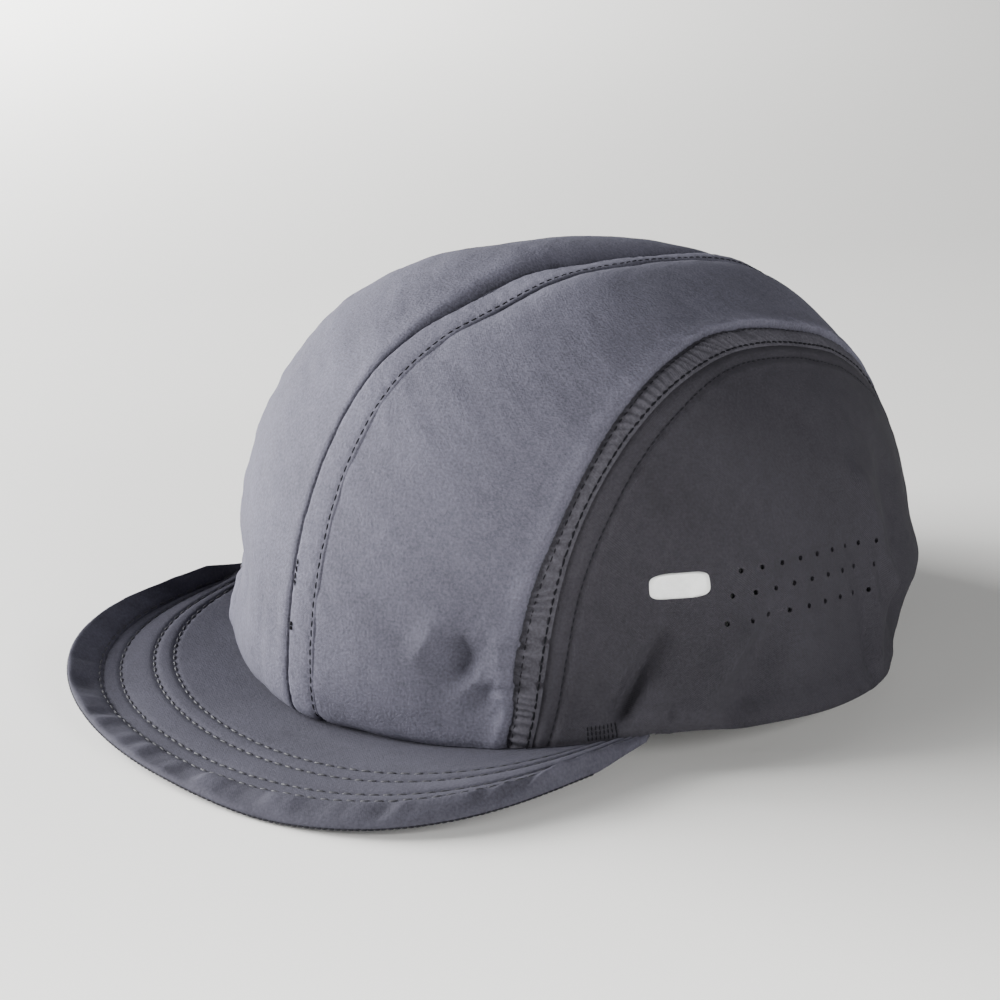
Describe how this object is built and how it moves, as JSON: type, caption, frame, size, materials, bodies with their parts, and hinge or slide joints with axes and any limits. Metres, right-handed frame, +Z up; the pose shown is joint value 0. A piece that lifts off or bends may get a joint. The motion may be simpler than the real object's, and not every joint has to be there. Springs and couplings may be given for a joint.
{
  "type": "running cap",
  "caption": "Soft close-fitting running cap with a rounded panelled crown, punched air holes at the sides and a short stitched peak, lying on its hem.",
  "frame": {"origin": "on the surface the cap lies on, under the middle of its bounding box", "axes": "+Z up, the peak points to -Y, +X is the wearer's left"},
  "size_m": [0.186, 0.236, 0.105],
  "materials": {
    "crown_cloth": "matt slate grey stretch-woven cloth",
    "side_cloth": "matt slate grey stretch-woven cloth, punched with small holes",
    "brim_cloth": "matt slate grey woven cloth over a thin soft filling, stitched in rows",
    "reflective_print": "pale reflective transfer"
  },
  "bodies": {
    "root": {"crown_panel_left": "crown_cloth", "crown_panel_right": "crown_cloth", "centre_seam_strip": "crown_cloth", "arch_seam_strip_left": "side_cloth", "arch_seam_strip_right": "side_cloth", "side_panel_left": "side_cloth", "side_panel_right": "side_cloth", "brim": "brim_cloth", "reflective_bar": "reflective_print"}
  },
  "joints": []
}
